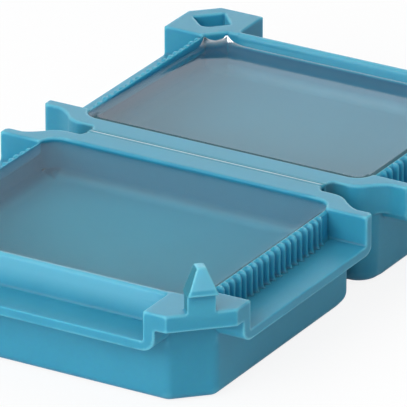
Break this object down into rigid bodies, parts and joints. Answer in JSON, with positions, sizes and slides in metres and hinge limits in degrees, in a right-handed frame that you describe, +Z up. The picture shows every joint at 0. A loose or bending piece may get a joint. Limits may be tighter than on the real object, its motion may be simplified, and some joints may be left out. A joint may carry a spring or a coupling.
{
  "type": "gel-filled splice box",
  "caption": "Small hinged plastic box, open flat, with clear sealing gel in both halves, cable combs on two sides and corner snap hooks, for sealing a wire splice.",
  "frame": {"origin": "under the middle of the film hinge, on the plane that both tubs rest on", "axes": "+X along the hinge line, +Y from the hinge line over the lid, with the base towards -Y, +Z up out of both open tubs; the box is drawn open flat"},
  "size_m": [0.044, 0.0726, 0.0161],
  "materials": {
    "shell": "satin teal polypropylene, slightly translucent",
    "gel": "clear soft sealing gel with a wet gloss"
  },
  "bodies": {
    "base": {"base_shell": "shell", "base_gel": "gel", "base_comb_left": "shell", "base_comb_right": "shell", "film_hinge": "shell"},
    "lid": {"lid_shell": "shell", "lid_gel": "gel", "lid_comb_left": "shell", "lid_comb_right": "shell", "latch_eye_left": "shell", "latch_eye_right": "shell"},
    "hook_left": {"latch_hook_left": "shell"},
    "hook_right": {"latch_hook_right": "shell"}
  },
  "joints": [
    {"name": "lid_hinge", "type": "hinge", "parent": "base", "child": "lid", "pos_m": [0, 0, 0.01119], "axis": [1, 0, 0], "range_deg": [0, 180], "deforming": ["film_hinge"]},
    {"name": "hook_left_flex", "type": "hinge", "parent": "base", "child": "hook_left", "pos_m": [-0.01841, -0.03271, 0.01115], "axis": [-0.7071, 0.7071, 0], "range_deg": [0, 16]},
    {"name": "hook_right_flex", "type": "hinge", "parent": "base", "child": "hook_right", "pos_m": [0.01841, -0.03271, 0.01115], "axis": [-0.7071, -0.7071, 0], "range_deg": [0, 16]}
  ]
}
